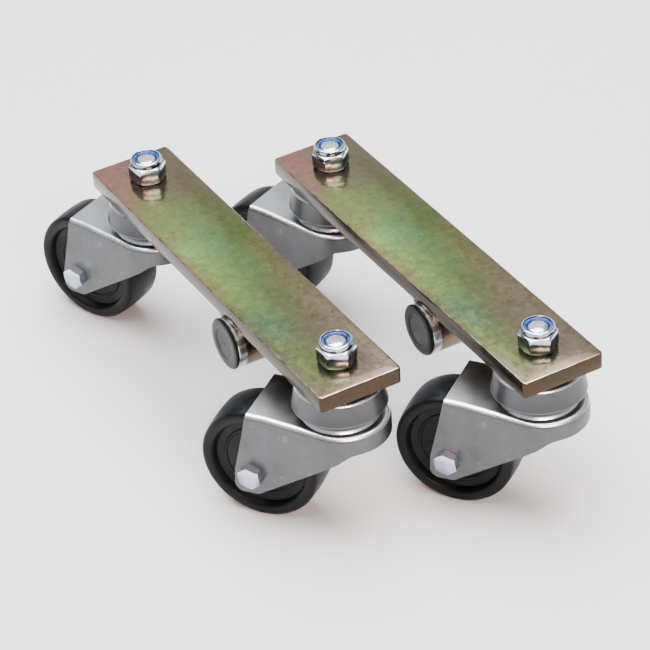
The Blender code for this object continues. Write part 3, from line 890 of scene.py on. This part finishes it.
def hexagon(flats, low, high, turn=0.0, chamfer_top=True, chamfer_foot=False):
    """A hexagon with its corners turned off at one end or both."""
    radius = flats / 2 / math.cos(math.pi / 6) + 0.1
    drop = (radius - flats / 2 + 0.35) * math.tan(math.radians(30))
    outline = [(0.0, high)]
    if chamfer_top:
        outline += [(flats / 2 - 0.35, high), (radius, high - drop)]
    else:
        outline += [(radius, high)]
    if chamfer_foot:
        outline += [(radius, low + drop), (flats / 2 - 0.35, low)]
    else:
        outline += [(radius, low)]
    outline += [(0.0, low)]
    bm = turned(outline, steps=72)
    for number in range(6):
        angle = math.radians(60 * number + turn)
        side = Vector((math.cos(angle), math.sin(angle), 0.0))
        cut = bmesh.ops.bisect_plane(
            bm, geom=list(bm.verts) + list(bm.edges) + list(bm.faces), dist=1e-5,
            plane_co=side * flats / 2, plane_no=side, clear_outer=True,
        )
        rim = [item for item in cut["geom_cut"] if isinstance(item, bmesh.types.BMEdge)]
        bmesh.ops.edgeloop_fill(bm, edges=rim)
    bmesh.ops.recalc_face_normals(bm, faces=bm.faces)
    return bm


def threaded(radius, low, high, pitch, depth, point=0.0):
    """The outline of a shank threaded near its tip, as fine rings."""
    outline = [(0.0, high), (radius - depth - point, high)]
    rings = int((high - low) / pitch)
    for number in range(rings):
        top = high - 0.5 * point - number * pitch
        outline += [(radius - depth, top), (radius, top - pitch * 0.5)]
    outline += [(radius - depth, low), (radius, low - 0.6)]
    return outline


def king_bolt_shape():
    shank = turned(
        threaded(BOLT_RADIUS, 0.0, BOLT_TIP, BOLT_PITCH, 0.7, 0.6)
        + [(BOLT_RADIUS, HEAD_SEAT - 1.0), (0.0, HEAD_SEAT - 1.0)],
        steps=48,
    )
    head = hexagon(
        HEAD_FLATS, HEAD_SEAT - HEAD_HEIGHT, HEAD_SEAT,
        chamfer_top=False, chamfer_foot=True,
    )
    return boolean(shank, head, "UNION")


bolt_master = king_bolt_shape()
for castor in CASTORS:
    place = Matrix.Translation(KING_PLACE[castor].translation)
    finished(
        castor + "_m12_bolt", bolt_master.copy(), place, FASTENER, "bogie_bars",
        [castor + "_king_bolt"],
    )
bolt_master.free()

# --------------------------------------------------------------- lock nuts
# Each bolt is held by an M12 nut with a thin round collar rolled over a blue
# nylon ring.  Bright zinc plated, the bar's colour shows in its flats.
NUT_FOOT = 10.1
NUT_SHOULDER = 20.3
NUT_TOP = 23.9
NUT_TURN = {"front": 4.0, "back": 13.3}
COLLAR_RADIUS = 9.2
SKIRT_RADIUS = 8.6
LIP_RADIUS = 7.9
NUT_BORE = 6.3


def lock_nut_shape(turn):
    nut = hexagon(HEAD_FLATS, NUT_FOOT, NUT_SHOULDER, turn, True, True)
    collar = turned(
        [(0.0, NUT_TOP), (LIP_RADIUS, NUT_TOP)]
        + arc((COLLAR_RADIUS - 1.15, NUT_TOP - 1.15), 1.15, 90.0, 10.0, 6)
        + [(COLLAR_RADIUS, NUT_TOP - 2.2), (COLLAR_RADIUS, NUT_SHOULDER + 0.3)]
        + [(SKIRT_RADIUS, NUT_SHOULDER - 0.4), (SKIRT_RADIUS, NUT_FOOT + 4.0)]
        + [(0.0, NUT_FOOT + 4.0)]
    )
    nut = boolean(nut, collar, "UNION")
    core = turned([
        (0.0, NUT_TOP + 2.0), (LIP_RADIUS + 0.2, NUT_TOP + 2.0),
        (LIP_RADIUS, NUT_TOP - 0.25), (LIP_RADIUS, NUT_TOP - 0.5),
        (LIP_RADIUS + 0.3, NUT_TOP - 0.6), (LIP_RADIUS + 0.3, NUT_TOP - 3.6),
        (NUT_BORE, NUT_TOP - 3.6), (NUT_BORE, NUT_FOOT - 2.0), (0.0, NUT_FOOT - 2.0),
    ])
    return boolean(nut, core, "DIFFERENCE")


for end, turn in NUT_TURN.items():
    nut_master = softened(lock_nut_shape(turn), 0.12, angle=25.0, segments=1)
    for side in SIDES:
        castor = f"{side}_{end}"
        place = Matrix.Translation(KING_PLACE[castor].translation)
        finished(
            castor + "_nyloc_nut", nut_master.copy(), place, FASTENER, "bogie_bars",
            [castor + "_lock_nut"],
        )
    nut_master.free()

# ------------------------------------------------------------ nylon rings
# The blue nylon ring under the nut's rolled lip grips the end of the thread, and
# is polished and slightly scarred where the bolt came through.


def nylon_finish(name):
    finish, tree, shader, where = new_finish(name)
    haze = clouds(tree, where, 420.0, detail=4.0)
    colour = ramp(tree, haze, (
        (0.35, linear(22, 44, 96)),
        (0.55, linear(40, 70, 136)),
        (0.75, linear(84, 118, 180)),
    ))
    tree.links.new(colour, shader.inputs["Base Color"])
    tree.links.new(span(tree, haze, 0.3, 0.7, 0.22, 0.4), shader.inputs["Roughness"])
    bumped(tree, shader, haze, 0.15, 0.0001)
    return finish


NYLON = nylon_finish("blue_nylon_ring")
for castor in CASTORS:
    ring = turned(
        arc((7.1, NUT_TOP - 1.3), 0.8, 0.0, 180.0, 8)
        + [(NUT_BORE, NUT_TOP - 3.3), (LIP_RADIUS, NUT_TOP - 3.3)],
        steps=64,
    )
    place = Matrix.Translation(KING_PLACE[castor].translation)
    finished(
        castor + "_nylon_ring", ring, place, NYLON, "bogie_bars",
        [castor + "_nut_insert"],
    )

# ------------------------------------------------------------------ wheels
# Solid moulded black wheels, 70 mm across with a smooth crowned tread, a
# dished web with a moulded ring step, and a boss that runs on the hub sleeve.
WHEEL_RADIUS = 35.0
HALF_TREAD = 13.5
SHOULDER = 2.6
HALF_HUB = 17.2
WHEEL_BORE = 6.6


def rubber(name, place, turn):
    finish, tree, shader, where = new_finish(name)
    spot = centred(tree, where, place, turn)
    axes = add_node(tree, "SeparateXYZ", {"Vector": spot})
    flat = add_node(tree, "CombineXYZ", {"Y": axes.outputs["Y"], "Z": axes.outputs["Z"]})
    radius = add_node(
        tree, "VectorMath", {0: flat.outputs["Vector"]}, operation="LENGTH"
    ).outputs["Value"]
    dust = clouds(tree, spot, 90.0, detail=6.0, roughness=0.65)
    # Dust and painted sheen: the tread is clouded with a bluish grey, partly dust and partly a
    # painted highlight.
    dust_and_painted_sheen = sums(
        tree, span(tree, radius, 0.0330, 0.0346), span(tree, dust, 0.42, 0.66), "MULTIPLY"
    )
    dust_and_painted_sheen = sums(tree, dust_and_painted_sheen, 0.75, "MULTIPLY")
    colour = mixed(tree, dust_and_painted_sheen, linear(6, 7, 7), linear(30, 34, 40))
    web = span(tree, clouds(tree, spot, 55.0, detail=5.0), 0.5, 0.75, 0.0, 0.5)
    colour = mixed(tree, web, colour, linear(15, 16, 17))
    tree.links.new(colour, shader.inputs["Base Color"])
    tree.links.new(span(tree, dust, 0.3, 0.7, 0.34, 0.52), shader.inputs["Roughness"])
    shader.inputs["Specular IOR Level"].default_value = 0.16
    # Faint turning rings left by the mould on both faces.
    rings = add_node(
        tree, "Math", {0: sums(tree, radius, 5200.0, "MULTIPLY")}, operation="SINE"
    ).outputs[0]
    rings = sums(tree, rings, 0.25, "MULTIPLY")
    height = sums(tree, rings, clouds(tree, spot, 650.0, detail=3.0))
    bumped(tree, shader, height, 0.16, 0.00012)
    return finish


def wheel_shape():
    half = (
        [(WHEEL_BORE, HALF_HUB - 0.4), (WHEEL_BORE + 0.4, HALF_HUB)]
        + [(10.4, HALF_HUB), (11.0, HALF_HUB - 0.5), (11.6, 11.5), (12.6, 9.6), (13.6, 9.1)]
        + [(20.4, 8.8), (20.9, 9.3), (21.9, 9.3), (22.4, 8.8), (25.6, 8.9), (26.6, 9.4)]
        + [(27.7, 12.2), (28.3, 13.0), (29.2, HALF_TREAD)]
        + arc((WHEEL_RADIUS - 0.5 - SHOULDER, HALF_TREAD - SHOULDER), SHOULDER, 90.0, 12.0, 7)
        + [(WHEEL_RADIUS - 0.25, 8.0), (WHEEL_RADIUS, 3.0)]
    )
    other = [(radius, -across) for radius, across in reversed(half)]
    bm = turned(half + other, steps=128)
    bmesh.ops.rotate(
        bm, verts=bm.verts, cent=(0.0, 0.0, 0.0), matrix=LYING.to_3x3()
    )
    return bm


wheel_master = wheel_shape()
for castor in CASTORS:
    spot = AXLE_PLACE[castor].translation
    finished(
        castor + "_moulded_wheel", wheel_master.copy(), AXLE_PLACE[castor],
        rubber(castor + "_black_rubber", spot, TRAIL_TURN[castor]),
        castor + "_wheel_body", [castor + "_wheel"],
    )
wheel_master.free()

# ------------------------------------------------------------- hub sleeves
# A plain zinc plated steel sleeve is clamped between the cheeks, and the wheel
# turns on it, so the axle bolt can be tightened without pinching the wheel.
SLEEVE_RADIUS = 6.4
SLEEVE_HALF = 18.55
SLEEVE_BORE = 4.2

for castor in CASTORS:
    sleeve = turned([
        (SLEEVE_RADIUS - 0.3, SLEEVE_HALF), (SLEEVE_RADIUS, SLEEVE_HALF - 0.3),
        (SLEEVE_RADIUS, -SLEEVE_HALF + 0.3), (SLEEVE_RADIUS - 0.3, -SLEEVE_HALF),
        (4.4, -SLEEVE_HALF), (SLEEVE_BORE, -SLEEVE_HALF + 0.2),
        (SLEEVE_BORE, SLEEVE_HALF - 0.2), (4.4, SLEEVE_HALF),
    ], steps=64)
    lying = AXLE_PLACE[castor] @ LYING
    finished(
        castor + "_axle_sleeve", sleeve, lying, FASTENER, castor + "_swivel_body",
        [castor + "_hub_sleeve"],
    )

# --------------------------------------------------- axle bolts and nuts
# An 8 mm bolt with a small six-sided head goes through both cheeks and the
# sleeve, and a plain nut on the far side leaves a few turns of thread showing.
AXLE_RADIUS = 4.0
AXLE_FLATS = 12.4
AXLE_SEAT = 21.35
AXLE_HEAD = 5.4
AXLE_NUT = 6.8
AXLE_PITCH = 1.25


def axle_bolt_shape():
    tip = AXLE_SEAT + AXLE_NUT + 1.7
    shank = turned(
        threaded(AXLE_RADIUS, AXLE_SEAT - 2.0, tip, AXLE_PITCH, 0.5, 0.5)
        + [(AXLE_RADIUS, -AXLE_SEAT - 1.0), (0.0, -AXLE_SEAT - 1.0)],
        steps=40,
    )
    head = hexagon(AXLE_FLATS, -AXLE_SEAT - AXLE_HEAD, -AXLE_SEAT, 20.0, False, True)
    return boolean(shank, head, "UNION")


def axle_nut_shape():
    nut = hexagon(AXLE_FLATS, AXLE_SEAT, AXLE_SEAT + AXLE_NUT, 12.0, True, True)
    bore = turned([
        (0.0, AXLE_SEAT + 9.0), (5.6, AXLE_SEAT + 8.0), (4.2, AXLE_SEAT + AXLE_NUT - 0.7),
        (4.2, AXLE_SEAT + 0.5), (5.0, AXLE_SEAT - 0.6), (0.0, AXLE_SEAT - 0.6),
    ], steps=48)
    return boolean(nut, bore, "DIFFERENCE")


axle_bolt_master = axle_bolt_shape()
axle_nut_master = axle_nut_shape()
for castor in CASTORS:
    lying = AXLE_PLACE[castor] @ LYING
    finished(
        castor + "_wheel_bolt", axle_bolt_master.copy(), lying, FASTENER,
        castor + "_swivel_body", [castor + "_axle_bolt"],
    )
    finished(
        castor + "_wheel_nut", axle_nut_master.copy(), lying, FASTENER,
        castor + "_swivel_body", [castor + "_axle_nut"],
    )
axle_bolt_master.free()
axle_nut_master.free()

# ------------------------------------------------------------------ studio
# A pale matt floor, one broad panel overhead and a weak one behind, which the bars
# mirror, two small warm cards at the front, which the nuts' flats mirror, and an
# even, slightly blue surround.
floor_bm = bmesh.new()
bmesh.ops.create_grid(floor_bm, x_segments=1, y_segments=1, size=6.0)
floor_mesh = bpy.data.meshes.new("floor")
floor_bm.to_mesh(floor_mesh)
floor_bm.free()
floor_finish, floor_tree, floor_shader, floor_where = new_finish("pale_floor")
floor_tone = ramp(floor_tree, clouds(floor_tree, floor_where, 3.0), (
    (0.3, (0.80, 0.80, 0.80, 1.0)),
    (0.7, (0.82, 0.82, 0.82, 1.0)),
))
floor_tree.links.new(floor_tone, floor_shader.inputs["Base Color"])
floor_shader.inputs["Roughness"].default_value = 0.9
floor_mesh.materials.append(floor_finish)
floor = bpy.data.objects.new("floor", floor_mesh)
bpy.context.scene.collection.objects.link(floor)

world = bpy.data.worlds.new("studio")
bpy.context.scene.world = world
world.use_nodes = True
surround = world.node_tree.nodes["Background"]
surround.inputs["Color"].default_value = (0.84, 0.93, 1.0, 1.0)
surround.inputs["Strength"].default_value = 0.45


def softbox(name, place, target, width, height, power, colour=(1.0, 1.0, 1.0)):
    light = bpy.data.lights.new(name, "AREA")
    light.shape = "RECTANGLE"
    light.size = width
    light.size_y = height
    light.energy = power
    light.color = colour
    made = bpy.data.objects.new(name, light)
    made.location = place
    heading = Vector(target) - Vector(place)
    made.rotation_euler = heading.to_track_quat("-Z", "Y").to_euler()
    bpy.context.scene.collection.objects.link(made)


softbox("overhead_panel", (0.0, 0.1, 1.7), (0.0, 0.1, 0.1), 1.9, 1.9, 120.0)
softbox("back_panel", (0.9, 1.7, 1.4), (0.0, 0.0, 0.1), 1.7, 1.3, 6.0)
softbox(
    "rose_card", (-0.77, -1.74, 1.38), (0.0, -0.1, 0.1), 0.5, 0.4, 28.0,
    (1.0, 0.56, 0.52),
)
softbox(
    "straw_card", (-0.17, -1.68, 1.38), (0.0, 0.1, 0.1), 0.45, 0.4, 18.0,
    (1.0, 0.94, 0.66),
)

# The camera looks down from the front left with a long lens.
CAMERA_LENS = 166.15
CAMERA_SENSOR = 36.0
CAMERA_FROM_CORNER = Vector((-579.5, -1116.0, 941.4))
CAMERA_RIGHT = Vector((0.86379, -0.50042, -0.05876))
CAMERA_UP = Vector((0.33237, 0.47827, 0.81289))
CAMERA_BACK = Vector((-0.37868, -0.72169, 0.57945))
camera_data = bpy.data.cameras.new("camera")
camera_data.sensor_width = CAMERA_SENSOR
camera_data.lens = CAMERA_LENS
camera_data.clip_start = 0.05
camera_data.clip_end = 50.0
camera = bpy.data.objects.new("camera", camera_data)
near_corner = Vector((-BAR_SIZE.x / 2, -BAR_SIZE.y / 2, BAR_SIZE.z))
corner = BAR_PLACE["left"] + near_corner * MM
heading = Matrix((CAMERA_RIGHT, CAMERA_UP, CAMERA_BACK)).transposed().to_4x4()
camera.matrix_world = Matrix.Translation(corner + CAMERA_FROM_CORNER * MM) @ heading
bpy.context.scene.collection.objects.link(camera)
bpy.context.scene.camera = camera
